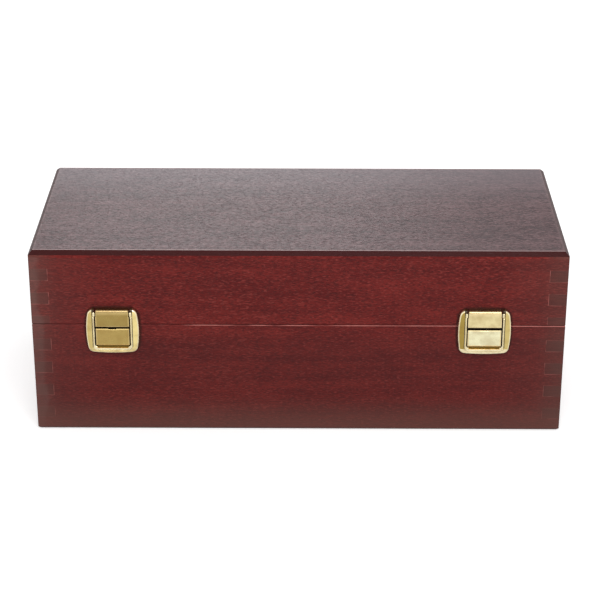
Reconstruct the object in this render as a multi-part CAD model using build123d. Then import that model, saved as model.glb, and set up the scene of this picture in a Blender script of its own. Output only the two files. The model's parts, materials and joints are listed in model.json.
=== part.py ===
from build123d import *
import os
from math import cos, hypot, radians, sin, tan

# Wooden case for one studio microphone and its mount: a finger-jointed box that was sawn
# into a base and a lid, with a bevelled top panel, foam inside, two butt hinges at the back
# and two sprung latches at the front.
# Millimetres, +Z up, the front faces -Y, the origin is the centre of the underside.

os.makedirs("parts", exist_ok=True)

# Case
case_width = 320.0
case_depth = 142.4
case_height = 118.5
seam_height = 71.0
seam_gap = 0.3
wall = 11.0
top_bevel = 2.5
bottom_bevel = 1.5
corner_ease = 0.5
rim_ease = 0.4

# Finger joints: the sides' end-grain blocks that show on the front and the back
finger_start = 8.0
finger_pitch = 15.25
finger_height = 7.6

# Panels
top_panel_thickness = 4.0
bottom_panel_thickness = 5.0
bottom_rebate = 5.0

# Foam
foam_clearance = 0.3
foam_pad_thickness = 10.0
foam_top_drop = 5.0
lid_foam_drop = 2.0
recess_border = 13.0
microphone_recess_width = 60.0
microphone_recess_corner = 14.0
microphone_tail_length = 46.0
microphone_tail_width = 42.0
microphone_tail_corner = 8.0
mount_recess_length = 54.0
mount_recess_width = 92.0
mount_recess_corner = 8.0
recess_spacing = 12.0
finger_bite_radius = 13.0

# Hinges
hinge_end_distance = 49.0
hinge_length = 38.0
hinge_inset = 2.5
leaf_width = 8.0
leaf_thickness = 1.0
leaf_gap = 0.3
knuckle_count = 5
knuckle_radius = 2.3
knuckle_gap = 0.15
hinge_pin_radius = 1.1
pin_chamfer = 0.2
lid_open_angle = 100.0
stop_margin_angle = 1.0

# Latches, measured up from the gap between the plates and outwards from the front face
latch_end_distance = 48.6
latch_drop = 0.75
latch_width = 32.0
latch_top = 12.35
latch_bottom = 17.05
latch_proud = 3.75
latch_side_bulge = 1.5
latch_end_bulge = 0.9
latch_corner = 4.0
latch_edge_round = 1.2
latch_slope_width = 3.2
latch_slope_depth = 0.5
bead_width = 1.0
bead_foot = 2.2
bead_height = 0.35
bead_bevel = 0.25
bead_groove_width = 0.35
bead_groove_depth = 0.3
pocket_width = 21.6
pocket_bottom = 12.3
pocket_corner = 1.5
nail_bevel = 0.9
back_plate_thickness = 0.6
back_plate_top = 0.9
lug_width = 1.4
lug_length = 2.8
lug_reach = 0.5
lug_height = 8.75
lug_gap = 0.3
sheet_thickness = 0.7
plate_front = 3.45
plate_bevel_width = 0.8
plate_bevel_depth = 0.35
plate_gap = 1.0

# Lever
lever_width = 20.2
lever_bottom = 11.6
lever_wall_depth = 1.0
pivot_depth = 2.6
pivot_out = 1.7
lever_pin_radius = 0.6
pin_seat = 1.5
ear_radius = 1.0
nose_width = 5.0
nose_thickness = 0.6
nose_shelf_top = 0.65
nose_bend = 0.7
nose_stem_out = 1.95
barb_reach = 0.65
barb_height = 0.8
barb_ramp = 0.5
lip_gap = 0.15
lever_open_angle = 20.0

# Keeper
keeper_width = 20.3
keeper_top = 11.45
keeper_round = 1.45
keeper_step = 0.4
keeper_step_height = 7.1
lip_reach = 1.35
flange_bottom = 5.0
prong_offset = 6.0
prong_height = 7.8
prong_width = 1.6
prong_length = 5.0
prong_point = 1.5

# Latch spring
spring_thickness = 0.25
spring_tongue_width = 4.0
spring_foot_width = 17.0
spring_foot_top = 7.5
spring_foot_bottom = 10.9
spring_corner = 0.8
spring_pin_rise = 0.1

# Screws
hinge_screw_offset = 11.0
hinge_screw_length = 9.0
hinge_screw_radius = 1.0
hinge_screw_head_radius = 1.9
latch_screw_offset = 6.3
latch_screw_depth = 9.2
latch_screw_length = 8.0
latch_screw_radius = 0.8
latch_screw_head_radius = 1.6
latch_screw_head_height = 0.6
screw_point = 2.0
slot_width = 0.45
slot_depth = 0.3

# Fits
running_clearance = 0.05
wood_clearance = 0.05
mortise_clearance = 0.3
touch_clearance = 0.05

# Levels and faces that the values above fix
front = -case_depth / 2
back = case_depth / 2
base_rim = seam_height - seam_gap / 2
lid_rim = seam_height + seam_gap / 2
lid_frame_top = case_height - top_panel_thickness
inner_width = case_width - 2 * wall
inner_depth = case_depth - 2 * wall
recesses_length = inner_width - 2 * recess_border
microphone_recess_length = recesses_length - recess_spacing - mount_recess_length
hinge_offset = case_width / 2 - hinge_end_distance
latch_offset = case_width / 2 - latch_end_distance
hinge_axis_y = back - hinge_inset
bevel_angle = (lid_open_angle + stop_margin_angle) / 2

# A sketch plane with x outwards from the front face and y up
SECTION = Plane(origin=(0, 0, 0), x_dir=(0, -1, 0), z_dir=(-1, 0, 0))


def block(x_low, x_high, y_low, y_high, z_low, z_high):
    """A box between six named faces."""
    size = Box(x_high - x_low, y_high - y_low, z_high - z_low)
    return Pos((x_low + x_high) / 2, (y_low + y_high) / 2, (z_low + z_high) / 2) * size


def along_x(radius, x_low, x_high):
    """A round bar along X through the local origin."""
    bar = Rot(0, 90, 0) * Cylinder(radius, x_high - x_low)
    return Pos((x_low + x_high) / 2, 0, 0) * bar


# The wooden case
def envelope(low, high, low_bevel, high_bevel):
    """The outer form of the base or the lid with its bevelled and eased edges."""
    form = block(-case_width / 2, case_width / 2, front, back, low, high)
    form = chamfer(form.faces().sort_by(Axis.Z)[-1].edges(), high_bevel)
    form = chamfer(form.faces().sort_by(Axis.Z)[0].edges(), low_bevel)
    return fillet(form.edges().filter_by(Axis.Z), corner_ease)


def finger_spans(low, high):
    """Heights of the sides' end-grain blocks in one ring. A stub under half a block is left out."""
    spans = []
    start = finger_start
    while start < high:
        bottom = max(start, low)
        top = min(start + finger_height, high)
        if top - bottom > finger_height / 2:
            spans.append((bottom, top))
        start += finger_pitch
    return spans


def side_wall(side, low, high):
    """One side with its blocks. They reach both faces of the front and the back."""
    outer = side * case_width / 2
    inner = outer - side * wall
    x_low, x_high = sorted((outer, inner))
    panel = block(x_low, x_high, front + wall, back - wall, low, high)
    for bottom, top in finger_spans(low, high):
        panel += block(x_low, x_high, front, back, bottom, top)
    return panel


def ring(low, high):
    """Four walls between two heights, interlocked at the corners."""
    left = side_wall(-1, low, high)
    right = side_wall(1, low, high)
    long_wall = block(-case_width / 2, case_width / 2, front, front + wall, low, high)
    front_wall = long_wall - left - right
    back_wall = mirror(front_wall, about=Plane.XZ)
    return {"front_panel": front_wall, "back_panel": back_wall, "left_side": left, "right_side": right}


def back_bevel(side):
    """The wedge that is planed off a rim behind the hinge line. The two bevels meet and stop the lid."""
    rim = side * seam_gap / 2
    reach = 2 * hinge_inset
    rise = side * reach * tan(radians(bevel_angle))
    wedge = Polygon((0, 0), (0, rim), (reach, rim + rise), (reach, 0), align=None)
    prism = extrude(Plane.YZ * wedge, case_width, both=True)
    return Pos(0, hinge_axis_y, seam_height) * prism


def bottom_panel_block():
    """The plywood bottom in its rebate, flush with the underside."""
    half_x = inner_width / 2 + bottom_rebate
    half_y = inner_depth / 2 + bottom_rebate
    return block(-half_x, half_x, -half_y, half_y, 0, bottom_panel_thickness)


# Foam
def foam_block(low, high):
    """A foam layer that fills the inside between two heights."""
    half_x = inner_width / 2 - foam_clearance
    half_y = inner_depth / 2 - foam_clearance
    return block(-half_x, half_x, -half_y, half_y, low, high)


def microphone_outline():
    """The microphone's cut-out: a blunt head at the left, a tapered tail at the right and finger bites."""
    half_length = microphone_recess_length / 2
    half_width = microphone_recess_width / 2
    half_tail = microphone_tail_width / 2
    shoulder = half_length - microphone_tail_length
    outline = Polygon(
        (-half_length, -half_width),
        (shoulder, -half_width),
        (half_length, -half_tail),
        (half_length, half_tail),
        (shoulder, half_width),
        (-half_length, half_width),
        align=None,
    )
    outline = fillet(outline.vertices().group_by(Axis.X)[0], microphone_recess_corner)
    outline = fillet(outline.vertices().group_by(Axis.X)[-1], microphone_tail_corner)
    for side in (-1, 1):
        outline += Pos(0, side * half_width) * Circle(finger_bite_radius)
    return outline


def recess_cutters(low, high):
    """The cut-outs for the microphone and for its mount."""
    microphone_x = (microphone_recess_length - recesses_length) / 2
    mount_x = (recesses_length - mount_recess_length) / 2
    mount_outline = RectangleRounded(mount_recess_length, mount_recess_width, mount_recess_corner)
    microphone = Pos(microphone_x, 0, low) * extrude(microphone_outline(), high - low)
    mount = Pos(mount_x, 0, low) * extrude(mount_outline, high - low)
    return microphone + mount


# Screws: head radius, head height, shank radius, length and whether the head is countersunk
hinge_screw = (hinge_screw_head_radius, leaf_thickness, hinge_screw_radius, hinge_screw_length, True)
latch_screw = (
    latch_screw_head_radius,
    latch_screw_head_height,
    latch_screw_radius,
    latch_screw_length,
    False,
)


def screw_form(kind, point, room):
    """A turned form below its head's outer face at the origin, with room all round and a point."""
    head_radius, head_height, shank_radius, length, countersunk = kind
    outline = [(0, 0), (head_radius + room, 0)]
    if not countersunk:
        outline.append((head_radius + room, -head_height))
    outline.append((shank_radius + room, -head_height))
    outline.append((shank_radius + room, point - length - room))
    outline.append((0, -length - room))
    return revolve(Plane.XZ * Polygon(*outline, align=None), Axis.Z)


def screw(kind):
    """A slotted screw."""
    slot = Box(3 * kind[0], slot_width, 2 * slot_depth)
    return screw_form(kind, screw_point, 0) - slot


def screw_hole(kind, room):
    """The straight hole that such a screw goes into."""
    return screw_form(kind, 0, room)


# Hinges, local frame: the pin runs along X through the origin and the case lies towards -Y
def knuckle_span(index):
    pitch = hinge_length / knuckle_count
    low = -hinge_length / 2 + index * pitch
    return low + knuckle_gap / 2, low + pitch - knuckle_gap / 2


def leaf_screw_places(side):
    """Where the screw heads sit in a leaf. They face the other leaf."""
    middle = -(knuckle_radius + leaf_width) / 2
    face = side * leaf_gap / 2
    turn = Rot(0, 0, 0) if side < 0 else Rot(180, 0, 0)
    return [Pos(x, middle, face) * turn for x in (-hinge_screw_offset, hinge_screw_offset)]


def hinge_leaf(side):
    """One leaf with its knuckles. Side -1 is the base's leaf and side 1 the lid's."""
    face = side * leaf_gap / 2
    z_low, z_high = sorted((face, face + side * leaf_thickness))
    leaf = block(-hinge_length / 2, hinge_length / 2, -leaf_width, 0, z_low, z_high)
    corners = leaf.edges().filter_by(Axis.Z).group_by(Axis.Y)[0]
    leaf = fillet(corners, leaf_thickness)
    for index in range(knuckle_count):
        low, high = knuckle_span(index)
        mine = index % 2 == (0 if side < 0 else 1)
        if mine:
            leaf += along_x(knuckle_radius, low, high)
        else:
            leaf -= along_x(knuckle_radius + mortise_clearance, low - knuckle_gap, high + knuckle_gap)
    leaf -= along_x(hinge_pin_radius + running_clearance, -hinge_length, hinge_length)
    for place in leaf_screw_places(side):
        leaf -= place * screw_hole(hinge_screw, running_clearance)
    return leaf


def hinge_pin():
    half = hinge_length / 2
    pin = along_x(hinge_pin_radius, -half, half)
    return chamfer(pin.edges().filter_by(GeomType.CIRCLE), pin_chamfer)


def hinge_mortise(side):
    """The room in a rim for a leaf, its screws and the knuckles."""
    half = hinge_length / 2 + wood_clearance
    floor = side * (leaf_gap / 2 + leaf_thickness)
    z_low, z_high = sorted((0, floor))
    room = block(-half, half, -leaf_width - wood_clearance, 0, z_low, z_high)
    barrel = hinge_length / 2 + mortise_clearance
    room += along_x(knuckle_radius + mortise_clearance, -barrel, barrel)
    for place in leaf_screw_places(side):
        room += place * screw_hole(hinge_screw, wood_clearance)
    return room


# Latches, local frame: the front face is the plane y = 0, outwards is -Y, and the gap between the
# two plates is at z = 0, a little below the seam
def on_front(sketch, inner, outer):
    """A front-view outline given thickness between two distances from the front face."""
    return Pos(0, -inner, 0) * extrude(Plane.XZ * sketch, outer - inner)


def across(sketch, width):
    """A side-view section given width across the latch."""
    return extrude(SECTION * sketch, width / 2, both=True)


def pillow_outline():
    """The frame's front view: four shallow arcs with rounded corners."""
    x = latch_width / 2 - latch_side_bulge
    top = latch_top - latch_end_bulge
    bottom = -latch_bottom + latch_end_bulge
    middle = (top + bottom) / 2
    right = ThreePointArc((x, bottom), (x + latch_side_bulge, middle), (x, top))
    upper = ThreePointArc((x, top), (0, latch_top), (-x, top))
    left = ThreePointArc((-x, top), (-x - latch_side_bulge, middle), (-x, bottom))
    lower = ThreePointArc((-x, bottom), (0, -latch_bottom), (x, bottom))
    outline = make_face([right, upper, left, lower])
    return fillet(outline.vertices(), latch_corner)


def opening_outline(border, foot):
    """The pocket, or with a border the bead's outer line. It runs out at the top."""
    bottom = pocket_bottom + foot
    height = latch_top + bottom + 2 * pocket_corner
    outline = RectangleRounded(pocket_width + 2 * border, height, pocket_corner + border)
    return Pos(0, -bottom + height / 2) * outline


def lug_outline(side):
    """A long lug on the inner edge of an arm, beside the narrower top of the keeper."""
    middle = pocket_width / 2 + lug_width / 2 - lug_reach
    return Pos(side * middle, lug_height) * Rot(0, 0, 90) * SlotOverall(lug_length, lug_width)


def raised(outline):
    """A bevelled strip that stands out from the frame's face."""
    strip = on_front(outline, plate_front / 2, latch_proud)
    return chamfer(strip.faces().sort_by(Axis.Y)[0].edges(), bead_bevel)


def under_the_lugs(outline):
    """What of an outline lies below the lugs."""
    end = lug_height - lug_length / 2 - lug_gap
    return outline - Pos(0, end + latch_width / 2) * Rectangle(2 * latch_width, latch_width)


def frame_bead():
    """The raised bead along the pocket, which is broader below."""
    outline = opening_outline(bead_width, bead_foot) - opening_outline(0, 0)
    return raised(under_the_lugs(outline))


def bead_groove():
    """The fine groove that sets the bead off from the rest of the frame."""
    border = bead_width + bead_groove_width
    foot = bead_foot + bead_groove_width
    outline = opening_outline(border, foot) - opening_outline(bead_width, bead_foot)
    bottom = latch_proud - bead_height - bead_groove_depth
    return on_front(under_the_lugs(outline), bottom, latch_proud)


def frame_band():
    """The broad part of the frame, which slopes from the bead to a rounded outer edge."""
    face_depth = latch_proud - bead_height
    band = on_front(pillow_outline(), 0, face_depth)
    face = band.faces().sort_by(Axis.Y)[0]
    band = chamfer(face.edges(), latch_slope_width, latch_slope_depth, reference=face)
    rim_depth = face_depth - latch_slope_depth
    rim = [edge for edge in band.edges() if abs(edge.center().Y + rim_depth) < latch_slope_depth / 10]
    return fillet(rim, latch_edge_round) - on_front(opening_outline(0, 0), 0, latch_proud)


def latch_frame():
    """The brass U that is screwed to the base. Its arms stand in front of the lid."""
    body = frame_band() + frame_bead() - bead_groove()
    for side in (-1, 1):
        body += raised(lug_outline(side))
    plate_height = pocket_bottom - back_plate_top + pocket_corner
    plate = Rectangle(pocket_width + pocket_corner, plate_height)
    plate = Pos(0, -back_plate_top - plate_height / 2) * plate
    body += on_front(plate, 0, back_plate_thickness)
    body -= across(nail_room(), pocket_width - 2 * pocket_corner)
    lid_bottom = latch_drop - seam_gap / 2
    body -= block(-latch_width, latch_width, -mortise_clearance, 0, lid_bottom, latch_top)
    body -= pivot_bar(lever_pin_radius + running_clearance, pocket_width / 2 + pin_seat + running_clearance)
    for place in latch_screw_places():
        body -= place * screw_hole(latch_screw, running_clearance)
    return body


def nail_room():
    """The slope below the lever, for a fingernail."""
    return Polygon(
        (latch_proud, -pocket_bottom - nail_bevel),
        (latch_proud, -pocket_bottom),
        (latch_proud - 2 * nail_bevel, -pocket_bottom),
        align=None,
    )


def pivot_bar(radius, half_length):
    """A bar on the lever's axis."""
    return Pos(0, -pivot_out, -pivot_depth) * along_x(radius, -half_length, half_length)


def latch_screw_places():
    """The two screws behind the lever. Their heads stand on the spring's foot."""
    head_face = back_plate_thickness + spring_thickness + latch_screw_head_height
    return [
        Pos(side * latch_screw_offset, -head_face, -latch_screw_depth) * Rot(90, 0, 0)
        for side in (-1, 1)
    ]


def lip_top():
    """The upper face of the keeper's bent lip."""
    return plate_gap / 2 + sheet_thickness


def nose_top():
    return lip_top() + lip_gap + barb_height + barb_ramp


def nose_section():
    """The lever's tongue in side view: a shelf inwards, a stem upwards and a barb over the keeper's lip."""
    inner = nose_stem_out - nose_thickness
    outer = nose_stem_out + barb_reach
    root = plate_front - sheet_thickness / 2
    barb_bottom = lip_top() + lip_gap
    shelf_bottom = -nose_shelf_top - nose_thickness
    return Polygon(
        (root, shelf_bottom),
        (inner, shelf_bottom),
        (inner, nose_top()),
        (nose_stem_out, nose_top() - barb_ramp / 2),
        (outer, nose_top() - 2 * barb_ramp),
        (outer, barb_bottom),
        (nose_stem_out, barb_bottom),
        (nose_stem_out, -nose_shelf_top),
        (root, -nose_shelf_top),
        align=None,
    )


def nose_bend_room():
    """What the plate's front lacks where the tongue bends inwards."""
    return Polygon(
        (latch_proud, -nose_shelf_top),
        (plate_front - nose_bend, -nose_shelf_top),
        (plate_front, -nose_shelf_top - nose_bend),
        (latch_proud, -nose_shelf_top - nose_bend),
        align=None,
    )


def latch_lever():
    """The lower plate: folded edges, two ears on the pin and the nose in a notch at the top."""
    top = -plate_gap / 2
    bottom = -lever_bottom
    height = top - bottom
    face = Pos(0, (top + bottom) / 2) * Rectangle(lever_width, height)
    plate = on_front(face, plate_front - sheet_thickness - lever_wall_depth, plate_front)
    front_face = plate.faces().sort_by(Axis.Y)[0]
    plate = chamfer(front_face.edges(), plate_bevel_width, plate_bevel_depth, reference=front_face)
    hollow = Pos(0, (top + bottom) / 2) * Rectangle(lever_width - 2 * sheet_thickness, height)
    plate -= on_front(hollow, 0, plate_front - sheet_thickness)
    notch_depth = nose_shelf_top - plate_gap / 2
    notch = Pos(0, top) * Rectangle(nose_width, 2 * notch_depth)
    plate -= on_front(notch, 0, latch_proud)
    ear_profile = Pos(pivot_out, -pivot_depth) * Circle(ear_radius)
    neck = plate_front - sheet_thickness - pivot_out
    ear_profile += Pos(pivot_out + neck / 2, -pivot_depth) * Rectangle(neck, 2 * ear_radius)
    plate -= across(nose_bend_room(), nose_width)
    ear = across(ear_profile, sheet_thickness)
    for side in (-1, 1):
        plate += Pos(side * (lever_width - sheet_thickness) / 2, 0, 0) * ear
    plate += across(nose_section(), nose_width)
    return plate - pivot_bar(lever_pin_radius + running_clearance, lever_width)


def latch_pin():
    return pivot_bar(lever_pin_radius, pocket_width / 2 + pin_seat)


def latch_keeper():
    """The upper plate: a folded cap on the lid whose lower lip the nose holds, with two prongs."""
    bottom = plate_gap / 2
    height = keeper_top - bottom
    face = Pos(0, (keeper_top + bottom) / 2) * Rectangle(keeper_width, height)
    cap = on_front(face, 0, plate_front)
    top_edge = cap.faces().sort_by(Axis.Y)[0].edges().sort_by(Axis.Z)[-1]
    cap = fillet(top_edge, keeper_round)
    front_face = cap.faces().sort_by(Axis.Y)[0]
    other_edges = front_face.edges().sort_by(Axis.Z)[:-1]
    cap = chamfer(other_edges, plate_bevel_width, plate_bevel_depth, reference=front_face)
    cap -= across(keeper_room(), keeper_width - 2 * sheet_thickness)
    for side in (-1, 1):
        step_middle = keeper_step_height + keeper_top / 2
        step = Pos(side * keeper_width / 2, step_middle) * Rectangle(2 * keeper_step, keeper_top)
        cap -= on_front(step, 0, latch_proud)
        cap += prong(side)
    return cap


def keeper_room():
    """The space inside the folded cap, open downwards behind the lip."""
    flange = back_plate_thickness
    ceiling = keeper_top - sheet_thickness
    inner = plate_front - sheet_thickness
    lip_end = plate_front - lip_reach
    bend = keeper_round - sheet_thickness
    return Polygon(
        (0, 0),
        (0, flange_bottom),
        (flange, flange_bottom),
        (flange, ceiling),
        (inner - bend, ceiling),
        (inner, ceiling - bend),
        (inner, lip_top()),
        (lip_end, lip_top()),
        (lip_end, 0),
        align=None,
    )


def prong(side, grow=0.0):
    """A flat pointed tooth behind the keeper that is pressed into the lid, or its slot when grown."""
    half = sheet_thickness / 2 + grow
    end = -prong_length - grow
    shoulder = end + prong_point
    tooth = Polygon((0, -half), (shoulder, -half), (end, 0), (shoulder, half), (0, half), align=None)
    return Pos(side * prong_offset, 0, prong_height) * across(tooth, prong_width + 2 * grow)


def latch_spring():
    """A leaf spring: its foot lies under the screw heads, its tongue passes the pin and pushes the nose."""
    face = back_plate_thickness
    foot_height = spring_foot_bottom - spring_foot_top
    foot_middle = -(spring_foot_top + spring_foot_bottom) / 2
    foot_outline = Pos(0, foot_middle) * RectangleRounded(spring_foot_width, foot_height, spring_corner)
    spring = on_front(foot_outline, face, face + spring_thickness)
    flat = face + spring_thickness / 2
    touch = nose_stem_out - nose_thickness - touch_clearance - spring_thickness / 2
    line = Polyline(
        (flat, foot_middle),
        (flat, -pivot_depth - lever_pin_radius),
        (flat + spring_pin_rise, -pivot_depth + lever_pin_radius),
        (touch, -seam_gap),
    )
    spring += across(trace(line, spring_thickness), spring_tongue_width)
    for place in latch_screw_places():
        spring -= place * screw_hole(latch_screw, running_clearance)
    return spring


def nose_relief():
    """A shallow pocket in the lid behind the keeper, for the nose when the lever is pulled."""
    out = nose_stem_out - nose_thickness - pivot_out
    up = nose_top() + pivot_depth
    swing = radians(lever_open_angle)
    depth = up * sin(swing) - out * cos(swing) - pivot_out + mortise_clearance
    top = hypot(out, up) - pivot_depth + mortise_clearance
    half = nose_width / 2 + mortise_clearance
    return block(-half, half, -mortise_clearance, max(depth, mortise_clearance), 0, top)


# Assembly
nodes = {}
bottom_panel = bottom_panel_block()
base_form = envelope(0, base_rim, bottom_bevel, rim_ease) - bottom_panel - back_bevel(-1)
lid_form = envelope(lid_rim, case_height, rim_ease, top_bevel) - back_bevel(1)

for name, panel in ring(0, base_rim).items():
    nodes["base_" + name] = panel & base_form
for name, panel in ring(lid_rim, lid_frame_top).items():
    nodes["lid_" + name] = panel & lid_form
nodes["base_bottom_panel"] = bottom_panel
top_block = block(-case_width / 2, case_width / 2, front, back, lid_frame_top, case_height)
nodes["lid_top_panel"] = top_block & lid_form

pad_bottom = bottom_panel_thickness + foam_clearance
pad_top = pad_bottom + foam_pad_thickness
insert_bottom = pad_top + foam_clearance
insert_top = base_rim - foam_top_drop
nodes["base_foam_pad"] = foam_block(pad_bottom, pad_top)
recesses = recess_cutters(insert_bottom, insert_top)
nodes["base_foam_insert"] = foam_block(insert_bottom, insert_top) - recesses
nodes["lid_foam_pad"] = foam_block(lid_rim + lid_foam_drop, lid_frame_top - foam_clearance)

for name, side in (("left", -1), ("right", 1)):
    hinge_place = Pos(side * hinge_offset, hinge_axis_y, seam_height)
    nodes[name + "_hinge_base_leaf"] = hinge_place * hinge_leaf(-1)
    nodes[name + "_hinge_lid_leaf"] = hinge_place * hinge_leaf(1)
    nodes[name + "_hinge_pin"] = hinge_place * hinge_pin()
    base_screws = [hinge_place * place * screw(hinge_screw) for place in leaf_screw_places(-1)]
    lid_screws = [hinge_place * place * screw(hinge_screw) for place in leaf_screw_places(1)]
    nodes[name + "_hinge_base_screws"] = Compound(children=base_screws)
    nodes[name + "_hinge_lid_screws"] = Compound(children=lid_screws)
    nodes["base_back_panel"] -= hinge_place * hinge_mortise(-1)
    nodes["lid_back_panel"] -= hinge_place * hinge_mortise(1)

    latch_place = Pos(side * latch_offset, front, seam_height - latch_drop)
    nodes[name + "_latch_frame"] = latch_place * latch_frame()
    nodes[name + "_latch_lever"] = latch_place * latch_lever()
    nodes[name + "_latch_pin"] = latch_place * latch_pin()
    nodes[name + "_latch_spring"] = latch_place * latch_spring()
    nodes[name + "_latch_keeper"] = latch_place * latch_keeper()
    frame_screws = [latch_place * place * screw(latch_screw) for place in latch_screw_places()]
    nodes[name + "_latch_screws"] = Compound(children=frame_screws)
    for place in latch_screw_places():
        nodes["base_front_panel"] -= latch_place * place * screw_hole(latch_screw, wood_clearance)
    nodes["lid_front_panel"] -= latch_place * nose_relief()
    for prong_side in (-1, 1):
        nodes["lid_front_panel"] -= latch_place * prong(prong_side, wood_clearance)

for name, shape in nodes.items():
    export_step(shape, "parts/" + name + ".step")
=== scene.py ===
import json
from math import cos, radians, sin

import bmesh
import bpy
from mathutils import Matrix, Vector, noise

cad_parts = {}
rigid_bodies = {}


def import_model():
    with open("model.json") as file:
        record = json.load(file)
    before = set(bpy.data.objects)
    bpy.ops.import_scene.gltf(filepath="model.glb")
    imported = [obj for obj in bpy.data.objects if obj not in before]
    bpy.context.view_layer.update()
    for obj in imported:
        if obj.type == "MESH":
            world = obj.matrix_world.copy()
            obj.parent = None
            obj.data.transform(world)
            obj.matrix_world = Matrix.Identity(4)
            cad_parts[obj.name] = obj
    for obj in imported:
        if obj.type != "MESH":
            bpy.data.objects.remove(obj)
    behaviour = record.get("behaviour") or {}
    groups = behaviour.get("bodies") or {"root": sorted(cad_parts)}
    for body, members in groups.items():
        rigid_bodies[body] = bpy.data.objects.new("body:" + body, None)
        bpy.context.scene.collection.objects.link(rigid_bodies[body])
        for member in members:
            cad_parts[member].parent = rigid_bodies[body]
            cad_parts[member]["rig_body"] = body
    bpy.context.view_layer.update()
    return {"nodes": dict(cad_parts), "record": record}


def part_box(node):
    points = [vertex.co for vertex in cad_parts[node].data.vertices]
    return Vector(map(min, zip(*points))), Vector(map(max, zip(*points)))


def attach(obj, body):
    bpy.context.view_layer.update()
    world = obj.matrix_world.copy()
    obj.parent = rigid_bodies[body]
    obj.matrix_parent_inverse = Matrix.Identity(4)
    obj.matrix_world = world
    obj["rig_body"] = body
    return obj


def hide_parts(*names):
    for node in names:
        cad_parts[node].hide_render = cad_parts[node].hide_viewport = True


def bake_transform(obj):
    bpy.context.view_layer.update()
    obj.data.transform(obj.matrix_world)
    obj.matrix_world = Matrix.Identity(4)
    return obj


# Looks of the wooden case. Metres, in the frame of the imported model: +X right, +Z up, the front
# faces -Y and the origin is the centre of the underside.

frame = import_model()
nodes = frame["nodes"]
MM = 0.001

# Camera, solved from the corners of the case in the photograph
camera_lens_mm = 114.3
camera_sensor_mm = 36.0
camera_elevation = radians(24.6)
camera_yaw = radians(-0.292)
camera_roll = radians(0.08)
camera_target = Vector((0.89, -71.2, 87.55)) * MM
camera_distance = 1.1353

# Case, measured on the frame, with the sizes of its joints and bevel as the CAD has them
half_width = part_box("base_right_side")[1].x
half_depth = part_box("base_back_panel")[1].y
base_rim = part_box("base_left_side")[1].z
lid_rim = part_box("lid_left_side")[0].z
lid_frame_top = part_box("lid_top_panel")[0].z
seam = (base_rim + lid_rim) / 2
wall = half_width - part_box("base_right_side")[0].x
finger_start = 8.0 * MM
finger_pitch = 15.25 * MM
finger_height = 7.6 * MM
top_bevel = 2.5 * MM

# Latches, measured on the frame
latch_low, latch_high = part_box("right_latch_frame")
latch_x = (latch_low.x + latch_high.x) / 2
latch_face = latch_low.y
latch_half_width = (latch_high.x - latch_low.x) / 2
latch_half_height = (latch_high.z - latch_low.z) / 2
latch_middle = (latch_low.z + latch_high.z) / 2
keeper_low, keeper_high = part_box("right_latch_keeper")
keeper_top = keeper_high.z
plate_face = keeper_low.y

# Latches as the CAD has them: the outline's curves, the gap between the plates, and the pocket
side_bulge = 1.5 * MM
end_bulge = 0.9 * MM
latch_corner = 4 * MM
plate_gap = 1.0 * MM
gap_level = keeper_low.z - plate_gap / 2
pocket_half_width = 10.8 * MM
pocket_height = 12.3 * MM
pocket_bottom = gap_level - pocket_height
nail_bevel = 0.9 * MM
ledge_end = pocket_bottom - nail_bevel

# The bead round the pocket, with the groove beside it, along the arms and at the foot
bead_width = 1.35 * MM
bead_foot = 2.55 * MM

# Half the width of a glue line, and how far inside and outside the upright edges the stain dulls
glue_line = 0.3 * MM
dull_inside = 14 * MM
dull_outside = 6 * MM

# Steps of the bending springs, and the foam's dents: waves a metre, and shares of the waviness
spring_step = 0.4 * MM
broad_waves = 45.0
fine_waves = 160.0
fine_share = 0.4
mean_dent = 0.5


def srgb(red, green, blue):
    """A colour as it looks on a screen, from 0 to 255, as the linear colour of a shader."""
    linear = [((value / 255 + 0.055) / 1.055) ** 2.4 for value in (red, green, blue)]
    return (*linear, 1.0)


# Grain's dark, light and pore colours, and its flecks where the grain lies in the surface
wall_grain = (srgb(81, 14, 14), srgb(111, 30, 26), srgb(56, 16, 16), srgb(148, 64, 58))
wall_end_grain = (srgb(70, 24, 22), srgb(89, 34, 30), srgb(44, 18, 16))
top_grain = (srgb(52, 31, 35), srgb(108, 78, 81), srgb(34, 18, 22), srgb(142, 112, 113))
top_edge_grain = (srgb(90, 17, 17), srgb(122, 35, 31), srgb(62, 18, 18), srgb(160, 70, 64))
bottom_grain = (srgb(74, 26, 23), srgb(100, 44, 38), srgb(50, 20, 18), srgb(118, 64, 56))


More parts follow.
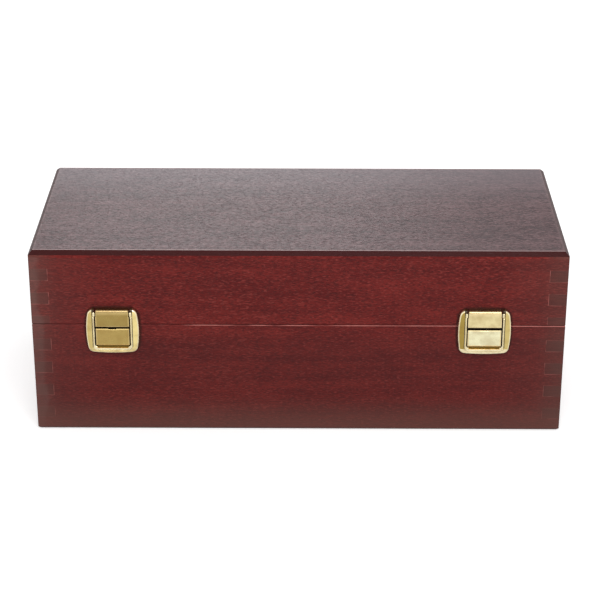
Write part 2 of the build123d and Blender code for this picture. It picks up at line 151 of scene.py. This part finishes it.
# Shader building
class Shader:
    """One material's nodes, with a principled shader at their end."""

    def __init__(self, name):
        self.material = bpy.data.materials.new(name)
        self.material.use_nodes = True
        self.tree = self.material.node_tree
        self.surface = self.tree.nodes["Principled BSDF"]
        coordinates = self.tree.nodes.new("ShaderNodeTexCoord")
        self.place = coordinates.outputs["Object"]
        self.normal = coordinates.outputs["Normal"]

    def node(self, kind, values, **settings):
        """A node with its first sockets set to these constants or linked to these sockets."""
        node = self.tree.nodes.new("ShaderNode" + kind)
        for name, setting in settings.items():
            setattr(node, name, setting)
        sockets = [socket for socket in node.inputs if socket.enabled]
        for socket, value in zip(sockets, values):
            self.put(socket, value)
        return node

    def put(self, socket, value):
        if isinstance(value, bpy.types.NodeSocket):
            self.tree.links.new(value, socket)
        else:
            socket.default_value = value

    def finish(self, **values):
        """Sets the principled shader's sockets, with an underscore for each space in a name."""
        for name, value in values.items():
            self.put(self.surface.inputs[name.replace("_", " ")], value)
        return self.material

    def math(self, operation, *values):
        return self.node("Math", values, operation=operation).outputs[0]

    def product(self, first, *others):
        for other in others:
            first = self.math("MULTIPLY", first, other)
        return first

    def largest(self, first, *others):
        for other in others:
            first = self.math("MAXIMUM", first, other)
        return first

    def apart(self, first, second):
        """How far two numbers are apart."""
        return self.math("ABSOLUTE", self.math("SUBTRACT", first, second))

    def ramp(self, value, low, high, start=0.0, end=1.0):
        """Runs smoothly from start to end as the value goes from low to high."""
        values = (value, low, high, start, end)
        return self.node("MapRange", values, interpolation_type="SMOOTHSTEP").outputs[0]

    def choose(self, factor, first, second):
        """The first number at factor 0, the second at 1."""
        return self.ramp(factor, 0.0, 1.0, first, second)

    def mix(self, factor, first, second):
        """The first colour at factor 0, the second at 1."""
        node = self.node("Mix", (factor, first, second), data_type="RGBA")
        return [socket for socket in node.outputs if socket.enabled][0]

    def scaled(self, vector, factors):
        return self.node("VectorMath", (vector, factors), operation="MULTIPLY").outputs[0]

    def moved(self, vector, amount, direction):
        """The vector, moved by an amount along a direction."""
        values = (amount, direction, vector)
        return self.node("VectorMath", values, operation="MULTIPLY_ADD").outputs[0]

    def axes(self, vector):
        return self.node("SeparateXYZ", (vector,)).outputs[:3]

    def facing(self, axis):
        """How squarely the surface faces along an axis, either way, from 0 to 1."""
        return self.math("ABSOLUTE", self.axes(self.normal)[axis])

    def faces(self, axis):
        """1 where the surface faces along an axis, either way, and 0 where it doesn't."""
        return self.ramp(self.facing(axis), 0.6, 0.8)

    def noise(self, vector, detail=2.0, roughness=0.5):
        """Noise with about one wave a unit."""
        node = self.node("TexNoise", (vector,))
        node.inputs["Scale"].default_value = 1.0
        node.inputs["Detail"].default_value = detail
        node.inputs["Roughness"].default_value = roughness
        return node.outputs["Fac"]

    def waves(self, along_x, along_y, along_z, detail=2.0, roughness=0.5):
        """Noise with that many waves a metre along each axis."""
        return self.noise(self.scaled(self.place, (along_x, along_y, along_z)), detail, roughness)

    def cells(self, vector):
        """The distance to the nearest of about one point a unit."""
        node = self.node("TexVoronoi", (vector,))
        node.inputs["Scale"].default_value = 1.0
        return node.outputs["Distance"]

    def relief(self, height, depth):
        """Surface relief, that deep for each unit of height."""
        bump = self.tree.nodes.new("ShaderNodeBump")
        bump.inputs["Strength"].default_value = 1.0
        bump.inputs["Distance"].default_value = depth
        self.put(bump.inputs["Height"], height)
        self.put(self.surface.inputs["Normal"], bump.outputs[0])


# Wood
def with_grain(grain, along, across):
    """Numbers for X, Y and Z, of which the grain's axis gets the first."""
    return tuple(along if axis == grain else across for axis in range(3))


def long_grain(shader, grain, dark, light, pore, fleck, fineness=1.0, broad=0.5):
    """Colour and relief where the grain lies in the surface, from broad bands to fine flecks."""

    def streaks(place, along, across, detail, roughness=0.5):
        return shader.noise(shader.scaled(place, with_grain(grain, along, across)), detail, roughness)

    wave = streaks(shader.place, 6.0, 14.0, 1.0)
    place = shader.moved(shader.place, wave, with_grain(grain, 0.0, 0.0012))
    clouds = streaks(shader.place, 38.0, 60.0, 2.0)
    bands = streaks(place, 9.0, 180.0, 2.0, 0.6)
    strands = streaks(place, 260.0, 1200.0 * fineness, 1.0, 0.6)
    fibres = streaks(place, 560.0, 2300.0 * fineness, 1.0, 0.6)
    pores = streaks(place, 520.0, 2400.0 * fineness, 0.0)
    flecks = streaks(place, 420.0, 1900.0 * fineness, 0.0)
    fine = 1 - broad
    shares = (
        (bands, 0.56 * broad),
        (clouds, 0.44 * broad),
        (strands, 0.6 * fine),
        (fibres, 0.4 * fine),
    )
    tone = 0.0
    for form, share in shares:
        tone = shader.math("MULTIPLY_ADD", form, share, tone)
    colour = shader.mix(shader.ramp(tone, 0.385, 0.615), dark, light)
    colour = shader.mix(shader.ramp(flecks, 0.55, 0.75, 0.0, 0.38), colour, fleck)
    hollows = shader.ramp(pores, 0.56, 0.68)
    colour = shader.mix(shader.product(hollows, 0.6), colour, pore)
    return colour, shader.math("SUBTRACT", shader.product(fibres, 0.5), hollows)


def end_grain(shader, grain, dark, light, pore):
    """Colour and relief where the grain ends: slanting growth rings and round pores."""
    section = shader.scaled(shader.place, with_grain(grain, 0.0, 1.0))
    slant = shader.moved(section, shader.axes(section)[2], (0.35, 0.35, 0.0))
    rings = shader.noise(shader.scaled(slant, (130.0, 130.0, 900.0)), 2.0, 0.6)
    dots = shader.ramp(shader.cells(shader.scaled(section, (2600.0, 2600.0, 2600.0))), 0.34, 0.16)
    colour = shader.mix(shader.ramp(rings, 0.35, 0.65), dark, light)
    colour = shader.mix(shader.product(dots, 0.5), colour, pore)
    return colour, shader.product(dots, -1.0)


def depth_inside(shader, limit, coordinate):
    """How far a point lies inside a limit that holds on both sides of the origin."""
    return shader.math("SUBTRACT", limit, shader.math("ABSOLUTE", coordinate))


def glue_lines(shader):
    """From 0 to 1 on the edges of the fingers, as seen on the front, the back and the sides."""
    x, y, z = shader.axes(shader.place)
    faces_y = shader.faces(1)
    from_side = shader.math("SUBTRACT", shader.math("ABSOLUTE", x), half_width - wall)
    from_front = shader.math("SUBTRACT", shader.math("ABSOLUTE", y), half_depth - wall)
    inwards = shader.choose(faces_y, from_front, from_side)
    level = shader.math("ADD", z, finger_pitch - finger_start)
    level = shader.math("MODULO", level, finger_pitch)
    to_upper = shader.apart(level, finger_height)
    to_lower = shader.math("MINIMUM", level, shader.math("SUBTRACT", finger_pitch, level))
    upper_line = shader.ramp(to_upper, glue_line, 0.0, 0.0, 0.3)
    lower_line = shader.ramp(to_lower, glue_line, 0.0, 0.0, 0.85)
    flat = shader.product(shader.largest(upper_line, lower_line), shader.ramp(inwards, -glue_line, 0.0))
    side_block = shader.ramp(level, finger_height + glue_line, finger_height)
    front_block = shader.math("SUBTRACT", 1.0, side_block)
    block = shader.choose(faces_y, front_block, side_block)
    upright = shader.product(shader.ramp(shader.math("ABSOLUTE", inwards), glue_line, 0.0), block)
    patchy = shader.ramp(shader.waves(180.0, 180.0, 180.0, 1.0), 0.3, 0.65)
    below_top = shader.ramp(z, lid_frame_top - MM, lid_frame_top - 2 * MM)
    off_seam = shader.ramp(shader.apart(z, base_rim - MM), MM, 3 * MM)
    above_floor = shader.ramp(z, 5 * MM, 6 * MM)
    return shader.product(shader.largest(flat, upright), patchy, below_top, off_seam, above_floor)


def seam_edge_highlight(shader):
    """From 0 to 1 on the base's upper edge: a painted highlight where the eased edge catches light, in
    stretches.
    """
    x, _, z = shader.axes(shader.place)
    upward = shader.facing(2)
    slanted = shader.product(shader.ramp(upward, 0.3, 0.5), shader.ramp(upward, 0.95, 0.85))
    below = shader.math("SUBTRACT", seam, z)
    near = shader.product(shader.ramp(below, 1.6 * MM, MM), shader.ramp(below, 0.0, 0.1 * MM))
    lit_stretches = shader.math("MULTIPLY_ADD", x, 1.3, shader.waves(45.0, 45.0, 0.0))
    return shader.product(slanted, near, shader.ramp(lit_stretches, 0.3, 0.6))


def around_latches(shader):
    """From 0 to 1 on the front towards the outline of each latch: a painted contact shadow round the
    frame, partly reaching inside it.
    """
    x, y, z = shader.axes(shader.place)
    across = shader.math("SUBTRACT", shader.math("ABSOLUTE", x), latch_x)
    up = shader.math("SUBTRACT", z, latch_middle)
    side_curve = side_bulge / latch_half_height**2
    end_curve = end_bulge / latch_half_width**2
    side_inset = shader.math("MULTIPLY_ADD", shader.product(up, up), side_curve, latch_corner)
    end_inset = shader.math("MULTIPLY_ADD", shader.product(across, across), end_curve, latch_corner)
    over_x = shader.math("SUBTRACT", shader.math("ABSOLUTE", across), latch_half_width)
    over_z = shader.math("SUBTRACT", shader.math("ABSOLUTE", up), latch_half_height)
    over_x = shader.largest(shader.math("ADD", over_x, side_inset), 0.0)
    over_z = shader.largest(shader.math("ADD", over_z, end_inset), 0.0)
    square = shader.math("MULTIPLY_ADD", over_x, over_x, shader.product(over_z, over_z))
    outside = shader.math("SUBTRACT", shader.math("SQRT", square), latch_corner)
    return shader.product(
        shader.ramp(outside, 1.8 * MM, 0.4 * MM),
        shader.ramp(shader.axes(shader.normal)[1], -0.6, -0.8),
        shader.ramp(y, wall - half_depth, 0.5 * MM - half_depth),
        shader.ramp(outside, -1.5 * MM, -0.2 * MM, 0.45, 1.0),
    )


def toward_corners(shader, far, near):
    """Rises from 0 to 1 between two distances from a face's upright edges, a little unevenly."""
    x, y, _ = shader.axes(shader.place)
    sideways = shader.faces(0)
    from_end = depth_inside(shader, half_width, x)
    from_front = depth_inside(shader, half_depth, y)
    distance = shader.choose(sideways, from_end, from_front)
    patchy = shader.waves(60.0, 60.0, 60.0)
    return shader.ramp(shader.math("MULTIPLY_ADD", patchy, -0.01, distance), far, near)


def stained_wood(name, grain):
    """Reddish stained hardwood of the walls, with its grain along one axis and duller edges."""
    shader = Shader(name)
    x, _, z = shader.axes(shader.place)
    colour, relief = long_grain(shader, grain, *wall_grain)
    end_colour, end_relief = end_grain(shader, grain, *wall_end_grain)
    ends = shader.faces(grain)
    colour = shader.mix(ends, colour, end_colour)
    relief = shader.choose(ends, relief, end_relief)
    faded = shader.product(toward_corners(shader, 45 * MM, 0.0), 0.3)
    colour = shader.mix(faded, colour, srgb(98, 52, 48))
    leftwards = shader.ramp(x, MM, -MM)
    strength = shader.ramp(z, seam + 4 * MM, seam - 8 * MM, 0.55, 1.0)
    strength = shader.largest(strength, shader.product(leftwards, 0.85))
    strength = shader.product(strength, shader.choose(ends, 0.38, 0.62))
    dulled = shader.product(toward_corners(shader, dull_inside, -dull_outside), strength)
    dull_colour = shader.mix(leftwards, srgb(94, 67, 60), srgb(107, 72, 65))
    colour = shader.mix(dulled, colour, dull_colour)
    # painted highlight along the upright corners on the left
    corner_highlight = shader.product(toward_corners(shader, 3 * MM, 0.0), leftwards, 0.2)
    colour = shader.mix(corner_highlight, colour, srgb(120, 98, 92))
    colour = shader.mix(shader.product(glue_lines(shader), 0.8), colour, srgb(166, 96, 90))
    # painted highlight along the base's upper edge at the seam
    colour = shader.mix(shader.product(seam_edge_highlight(shader), 0.8), colour, srgb(188, 114, 106))
    shaded = shader.ramp(z, seam - 18 * MM, seam + 4 * MM, 0.28, 0.0)
    colour = shader.mix(shaded, colour, srgb(62, 26, 25))
    # painted reflection of the pale floor: lighter and greyer towards the bottom
    floor_reflection = shader.ramp(z, 26 * MM, 0.0, 0.0, 0.65)
    colour = shader.mix(floor_reflection, colour, srgb(98, 64, 57))
    # painted shadow round the outline of each latch
    painted_latch_shade = shader.product(around_latches(shader), 0.75)
    colour = shader.mix(painted_latch_shade, colour, srgb(36, 14, 7))
    shader.relief(relief, 0.06 * MM)
    roughness = shader.ramp(relief, -1.0, 0.5, 0.6, 0.45)
    return shader.finish(Base_Color=colour, Roughness=roughness, Specular_IOR_Level=0.18)


def top_veneer(name):
    """The lid's top: a browner veneer with a satin lacquer, and red stain on its edge."""
    shader = Shader(name)
    x, y, _ = shader.axes(shader.place)
    upward = shader.axes(shader.normal)[2]
    colour, relief = long_grain(shader, 0, *top_grain, fineness=0.8, broad=0.3)
    figure = shader.waves(7.0, 26.0, 0.0, 1.0)
    figure = shader.math("MODULO", shader.product(figure, 7.0), 1.0)
    ring = shader.ramp(shader.apart(figure, 0.5), 0.12, 0.02, 0.0, 0.3)
    colour = shader.mix(ring, colour, srgb(56, 36, 40))
    # painted reflection of the bright surroundings, growing towards the back of the top
    painted_glare = shader.ramp(y, -0.1 * half_depth, 1.2 * half_depth, 0.0, 0.42)
    colour = shader.mix(painted_glare, colour, srgb(136, 128, 134))
    from_side = depth_inside(shader, half_width, x)
    from_front = depth_inside(shader, half_depth, y)
    # painted highlight along the top's front edge and, faintly, along its side edges
    front_arris_highlight = shader.ramp(from_front, top_bevel + 1.3 * MM, top_bevel + 0.5 * MM, 0.0, 0.75)
    side_arris_highlight = shader.ramp(from_side, top_bevel + 1.4 * MM, top_bevel + 0.5 * MM, 0.0, 0.12)
    colour = shader.mix(shader.largest(front_arris_highlight, side_arris_highlight), colour, srgb(172, 143, 141))
    edge_colour, edge_relief = long_grain(shader, 0, *top_edge_grain)
    dulled = shader.product(toward_corners(shader, dull_inside, -dull_outside), 0.65)
    edge_colour = shader.mix(dulled, edge_colour, srgb(100, 69, 62))
    # painted dark reflection: the bevel is darkened to a near-black red
    bevel = shader.ramp(upward, 0.2, 0.5)
    edge_colour = shader.mix(bevel, edge_colour, srgb(54, 4, 4))
    flat = shader.ramp(upward, 0.85, 0.95)
    colour = shader.mix(flat, edge_colour, colour)
    shader.relief(shader.choose(flat, edge_relief, relief), 0.05 * MM)
    roughness = shader.ramp(relief, -1.0, 0.5, 0.5, 0.36)
    return shader.finish(Base_Color=colour, Roughness=roughness, Specular_IOR_Level=0.13)


def stained_plywood(name):
    """The bottom panel's dull, darker face, with broad figure."""
    shader = Shader(name)
    colour, relief = long_grain(shader, 0, *bottom_grain)
    figure = shader.waves(5.0, 34.0, 34.0, 3.0, 0.7)
    colour = shader.mix(shader.ramp(figure, 0.4, 0.7, 0.0, 0.4), colour, srgb(66, 28, 25))
    shader.relief(relief, 0.06 * MM)
    return shader.finish(Base_Color=colour, Roughness=0.65, Specular_IOR_Level=0.2)


# Metal
def tarnished(shader, colour):
    """Brass that has gone dull and spotty, and how far it has."""
    wear = shader.waves(190.0, 190.0, 190.0, 3.0)
    return shader.mix(shader.ramp(wear, 0.35, 0.75, 0.0, 0.3), colour, srgb(146, 112, 58)), wear


def from_latch_middle(shader, x):
    """How far a point lies to the left or right of its latch's middle."""
    return shader.apart(shader.math("ABSOLUTE", x), latch_x)


def in_a_latch(shader, border, face, shallow, deep):
    """From 0 to 1 with the depth behind a latch's face, inside the frame's opening and a border."""
    x, y, _ = shader.axes(shader.place)
    limit = pocket_half_width + border
    inside = shader.ramp(from_latch_middle(shader, x), limit + 0.1 * MM, limit)
    depth = shader.ramp(y, face + shallow, face + deep)
    front_half = shader.ramp(y, 0.0, -MM)
    return shader.product(inside, depth, front_half)


def frame_brass(name):
    """The cast frames and their screws and pins: painted highlights on the edges, a face with a painted
    reflection that brightens towards each latch's right, and painted shade in the hollows.
    """
    shader = Shader(name)
    x, _, z = shader.axes(shader.place)
    facing = shader.facing(1)
    on_the_right = shader.ramp(x, -MM, MM)
    # painted highlights on the rounded edges, on the bead and on the foot bar, stronger on the right
    # latch's bar
    rounded = shader.ramp(facing, 0.975, 0.93)
    low_bar = shader.ramp(z, ledge_end, ledge_end - 0.3 * MM)
    from_middle = from_latch_middle(shader, x)
    inner_edge = shader.ramp(from_middle, pocket_half_width + 0.75 * MM, pocket_half_width + 0.4 * MM)
    bead = shader.product(shader.ramp(facing, 0.993, 0.997), shader.largest(inner_edge, low_bar))
    lit_bar = shader.product(low_bar, shader.choose(on_the_right, 0.2, 0.9))
    bright = shader.largest(rounded, bead, lit_bar)
    # painted reflection: the face runs from dull on each latch's left to bright on its right, and the
    # left latch is a little brighter
    rightwards = shader.math("ADD", shader.product(shader.math("SIGN", x), -latch_x), x)
    shine = shader.math("MULTIPLY_ADD", rightwards, 18.0, shader.product(x, -2.0))
    dull_colour = shader.mix(shader.ramp(shine, -0.5, 0.5), srgb(176, 150, 76), srgb(254, 232, 160))
    colour = shader.mix(bright, dull_colour, srgb(255, 242, 200))
    colour, wear = tarnished(shader, colour)
    # painted shade deep behind the frame's face, lighter above the seam
    above_ledge = shader.ramp(z, pocket_bottom - 0.55 * MM, pocket_bottom - 0.05 * MM, 0.1, 1.0)
    above_foot = shader.ramp(z, pocket_bottom - bead_foot, pocket_bottom - bead_foot + 0.1 * MM)
    hollow_shade = in_a_latch(shader, bead_width, latch_face, 0.3 * MM, 0.4 * MM)
    hollow_shade = shader.product(hollow_shade, above_ledge, above_foot)
    above_seam = shader.ramp(z, seam, seam + 0.5 * MM)
    hollow_shade_colour = shader.mix(above_seam, srgb(24, 14, 7), srgb(64, 44, 20))
    colour = shader.mix(hollow_shade, colour, hollow_shade_colour)
    # painted shade on the ledge under the lever
    shaded_ledge = shader.product(
        shader.ramp(z, ledge_end - 0.1 * MM, ledge_end + 0.1 * MM),
        shader.ramp(z, pocket_bottom + 0.05 * MM, pocket_bottom),
        shader.ramp(shader.axes(shader.normal)[2], 0.5, 0.8),
    )
    colour = shader.mix(shaded_ledge, colour, srgb(186, 146, 70))
    # painted highlight: the right latch's foot bar is made partly non-metal so that its pale colour
    # shows bright
    bar_highlight = shader.product(low_bar, on_the_right, 0.6)
    metal = shader.math("SUBTRACT", 1.0, shader.largest(hollow_shade, bar_highlight))
    rough = shader.ramp(wear, 0.3, 0.8, 0.2, 0.3)
    return shader.finish(Base_Color=colour, Metallic=metal, Roughness=rough, Specular_IOR_Level=0.3)


def sheet_brass(name, keeper, lever, edge, crown_reflection, gap_shade):
    """The brushed plates of one latch, with the colours of the keeper, the lever, the painted highlight
    on the bevelled edges and the painted reflection on the keeper's rounded top. The painted shade
    between the plates reaches that far from the gap's middle."""
    shader = Shader(name)
    z = shader.axes(shader.place)[2]
    colour = shader.mix(shader.ramp(z, gap_level, gap_level + 0.1 * MM), lever, keeper)
    blush = shader.waves(70.0, 70.0, 130.0)
    colour = shader.mix(shader.ramp(blush, 0.4, 0.7, 0.0, 0.25), colour, srgb(176, 142, 84))
    # painted highlight in a soft band under the keeper's top, and on the bevelled edges
    near_top = shader.ramp(z, keeper_top - 3.6 * MM, keeper_top - 1.8 * MM, 0.0, 0.75)
    colour = shader.mix(near_top, colour, edge)
    colour = shader.mix(shader.ramp(shader.facing(1), 0.97, 0.93), colour, edge)
    # painted reflection on the keeper's rounded top
    over_top = shader.ramp(z, keeper_top - 1.4 * MM, keeper_top - MM)
    colour = shader.mix(over_top, colour, crown_reflection)
    colour, wear = tarnished(shader, colour)
    # painted shade deep behind the plates' face and in the gap between them
    hollow_shade = in_a_latch(shader, 0.0, plate_face, 0.26 * MM, 0.34 * MM)
    hollow_shade = shader.product(hollow_shade, shader.ramp(z, keeper_top - 1.6 * MM, keeper_top - 2.0 * MM))
    painted_latch_shade = shader.ramp(shader.apart(z, gap_level), gap_shade + 0.25 * MM, gap_shade)
    dark = shader.largest(hollow_shade, painted_latch_shade)
    colour = shader.mix(dark, colour, srgb(20, 10, 5))
    marks = shader.waves(160.0, 9000.0, 9000.0, 2.0, 0.7)
    shader.relief(marks, 0.004 * MM)
    metal = shader.math("SUBTRACT", 1.0, dark)
    rough = shader.ramp(wear, 0.3, 0.8, 0.26, 0.36)
    return shader.finish(Base_Color=colour, Metallic=metal, Roughness=rough, Specular_IOR_Level=0.1)


def hinge_brass(name):
    """Rolled brass with faint marks along the barrels."""
    shader = Shader(name)
    cloudy = shader.ramp(shader.waves(60.0, 160.0, 160.0), 0.3, 0.7)
    colour = shader.mix(cloudy, srgb(194, 168, 112), srgb(222, 200, 146))
    marks = shader.waves(90.0, 5000.0, 5000.0, 2.0, 0.7)
    shader.relief(marks, 0.003 * MM)
    return shader.finish(Base_Color=colour, Metallic=1.0, Roughness=0.36)


def spring_steel(name):
    """Spring steel with faint marks along the strip."""
    shader = Shader(name)
    marks = shader.waves(3000.0, 3000.0, 300.0)
    colour = shader.mix(marks, srgb(150, 150, 154), srgb(196, 196, 198))
    return shader.finish(Base_Color=colour, Metallic=1.0, Roughness=0.3)


# Foam
def open_foam(name):
    """Charcoal open-cell foam."""
    shader = Shader(name)
    cells = shader.cells(shader.scaled(shader.place, (1500.0, 1500.0, 1500.0)))
    patches = shader.waves(60.0, 60.0, 60.0, 3.0)
    colour = shader.mix(shader.ramp(cells, 0.1, 0.6), srgb(26, 26, 28), srgb(64, 64, 68))
    colour = shader.mix(shader.ramp(patches, 0.35, 0.7, 0.0, 0.4), colour, srgb(48, 48, 52))
    shader.relief(cells, 0.5 * MM)
    return shader.finish(Base_Color=colour, Roughness=0.95, Specular_IOR_Level=0.2)


# Camera, floor and light
def add_object(name, data):
    """A new object in the scene."""
    added = bpy.data.objects.new(name, data)
    bpy.context.scene.collection.objects.link(added)
    return added


def add_camera():
    """A camera that sees the case as the photograph does."""
    forward = Vector((
        sin(camera_yaw) * cos(camera_elevation),
        cos(camera_yaw) * cos(camera_elevation),
        -sin(camera_elevation),
    ))
    level = Vector((cos(camera_yaw), -sin(camera_yaw), 0.0))
    upright = level.cross(forward)
    right = level * cos(camera_roll) + upright * sin(camera_roll)
    up = upright * cos(camera_roll) - level * sin(camera_roll)
    data = bpy.data.cameras.new("camera")
    data.lens = camera_lens_mm
    data.sensor_width = camera_sensor_mm
    place = Matrix((right, up, -forward)).transposed().to_4x4()
    place.translation = camera_target - forward * camera_distance
    camera = add_object("camera", data)
    camera.matrix_world = place
    bpy.context.scene.camera = camera


def add_area_light(name, place, aim, size, power):
    """A rectangular soft light, size wide and high, that points at a place."""
    data = bpy.data.lights.new(name, "AREA")
    data.shape = "RECTANGLE"
    data.size, data.size_y = size
    data.energy = power
    light = add_object(name, data)
    light.location = place
    light.rotation_euler = (Vector(aim) - Vector(place)).to_track_quat("-Z", "Y").to_euler()


def add_floor(half_size, drop):
    """A wide floor a hair under the case. It looks white to the camera, and keeps the shadow."""
    mesh = bpy.data.meshes.new("floor")
    signs = ((-1, -1), (1, -1), (1, 1), (-1, 1))
    mesh.from_pydata([(x * half_size, y * half_size, -drop) for x, y in signs], [], [(0, 1, 2, 3)])
    floor = add_object("floor", mesh)
    shader = Shader("floor")
    rays = shader.node("LightPath", ())
    distance = shader.node("VectorMath", (shader.place,), operation="LENGTH").outputs["Value"]
    whiteness = shader.ramp(distance, 0.25, 0.9, 0.43, 0.65)
    seen = shader.product(rays.outputs["Is Camera Ray"], whiteness)
    shown = shader.math("MULTIPLY_ADD", rays.outputs["Is Glossy Ray"], 0.1, seen)
    shader.finish(
        Base_Color=(0.8, 0.8, 0.8, 1.0),
        Roughness=0.9,
        Specular_IOR_Level=0.0,
        Emission_Color=(1.0, 1.0, 1.0, 1.0),
        Emission_Strength=shown,
    )
    mesh.materials.append(shader.material)


def add_world(as_light):
    """White to the camera and in reflections, dimmer as a light."""
    world = bpy.data.worlds.new("studio")
    world.use_nodes = True
    tree = world.node_tree
    background = tree.nodes["Background"]
    background.inputs["Color"].default_value = (1.0, 1.0, 1.0, 1.0)
    rays = tree.nodes.new("ShaderNodeLightPath")
    shown = tree.nodes.new("ShaderNodeMath")
    shown.operation = "MAXIMUM"
    tree.links.new(rays.outputs["Is Camera Ray"], shown.inputs[0])
    tree.links.new(rays.outputs["Is Glossy Ray"], shown.inputs[1])
    strength = tree.nodes.new("ShaderNodeMapRange")
    strength.inputs["To Min"].default_value = as_light
    strength.inputs["To Max"].default_value = 1.0
    tree.links.new(shown.outputs[0], strength.inputs["Value"])
    tree.links.new(strength.outputs[0], background.inputs["Strength"])
    bpy.context.scene.world = world


# Pieces
def dress(mesh, material):
    """Gives a mesh one material."""
    mesh.materials.clear()
    mesh.materials.append(material)


def foam_piece(node, voxel, waviness, material):
    """A cut foam block with soft edges and an uneven surface, in the space of its node."""
    source = nodes[node]
    piece = add_object(node + "_cut", source.data.copy())
    remesh = piece.modifiers.new("remesh", "REMESH")
    remesh.mode = "VOXEL"
    remesh.voxel_size = voxel
    smooth = piece.modifiers.new("smooth", "SMOOTH")
    smooth.factor = 0.5
    smooth.iterations = 3
    graph = bpy.context.evaluated_depsgraph_get()
    mesh = bpy.data.meshes.new_from_object(piece.evaluated_get(graph))
    piece.modifiers.clear()
    piece.data = mesh
    normals = [vertex.normal.copy() for vertex in mesh.vertices]
    for vertex, normal in zip(mesh.vertices, normals):
        sample = noise.noise(vertex.co * broad_waves)
        sample += fine_share * noise.noise(vertex.co * fine_waves)
        vertex.co -= normal * waviness * max(0.0, mean_dent + sample)
    mesh.shade_smooth()
    dress(mesh, material)
    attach(piece, source["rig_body"])
    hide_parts(node)


def leaf_spring(name, material):
    """A latch's spring, sliced across its height at even steps. The real spring bends where its tongue
    passes the lever's pin.
    """
    node = name + "_latch_spring"
    mesh = nodes[node].data.copy()
    low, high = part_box(node)
    blank = bmesh.new()
    blank.from_mesh(mesh)
    level = low.z + spring_step
    while level < high.z:
        everything = [*blank.verts, *blank.edges, *blank.faces]
        bmesh.ops.bisect_plane(blank, geom=everything, plane_co=(0, 0, level), plane_no=(0, 0, 1))
        level += spring_step
    blank.to_mesh(mesh)
    blank.free()
    dress(mesh, material)
    piece = add_object(node + "_bent", mesh)
    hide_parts(node)
    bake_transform(piece)


foam = open_foam("charcoal_foam")
front_wood = stained_wood("stained_wood_front", 0)
side_wood = stained_wood("stained_wood_side", 1)
plywood = stained_plywood("stained_plywood")
veneer = top_veneer("top_veneer")
cast_brass = frame_brass("cast_brass")
# painted reflection: the left latch's plates get dull colours and the right latch's much brighter ones,
# as lit and shaded copies of one brass
left_plates = sheet_brass(
    "left_plates",
    keeper=srgb(172, 148, 87),
    lever=srgb(190, 164, 98),
    edge=srgb(214, 188, 126),
    crown_reflection=srgb(164, 142, 100),
    gap_shade=0.35 * MM,
)
right_plates = sheet_brass(
    "right_plates",
    keeper=srgb(246, 231, 176),
    lever=srgb(255, 250, 208),
    edge=srgb(252, 230, 176),
    crown_reflection=srgb(196, 176, 132),
    gap_shade=0.75 * MM,
)
rolled_brass = hinge_brass("rolled_brass")
steel = spring_steel("spring_steel")

for part in frame["record"]["subparts"]:
    name = part["node"]
    mesh = nodes[name].data
    if part["material_slot"] == "top_veneer":
        dress(mesh, veneer)
    elif part["material_slot"] == "plywood":
        dress(mesh, plywood)
    elif part["material_slot"] == "stained_wood":
        dress(mesh, side_wood if name.endswith("side") else front_wood)
    elif name.endswith(("lever", "keeper")):
        dress(mesh, left_plates if name.startswith("left") else right_plates)
    elif "_hinge_" in name:
        dress(mesh, rolled_brass)
    elif "_latch_" in name:
        dress(mesh, cast_brass)

leaf_spring("left", steel)
leaf_spring("right", steel)
foam_piece("base_foam_pad", voxel=2.0 * MM, waviness=0.5 * MM, material=foam)
foam_piece("base_foam_insert", voxel=1.6 * MM, waviness=0.4 * MM, material=foam)
foam_piece("lid_foam_pad", voxel=2.0 * MM, waviness=0.6 * MM, material=foam)

add_camera()
add_floor(half_size=4.0, drop=0.1 * MM)
add_world(as_light=0.6)
add_area_light("key", place=(0.25, -1.4, 1.5), aim=(0.0, 0.0, 0.08), size=(1.4, 1.0), power=22.0)
add_area_light("back", place=(-0.14, 1.6, 1.0), aim=(-0.05, 0.0, 0.1), size=(0.65, 1.1), power=6.0)

view = bpy.context.scene.view_settings
view.view_transform = "Standard"
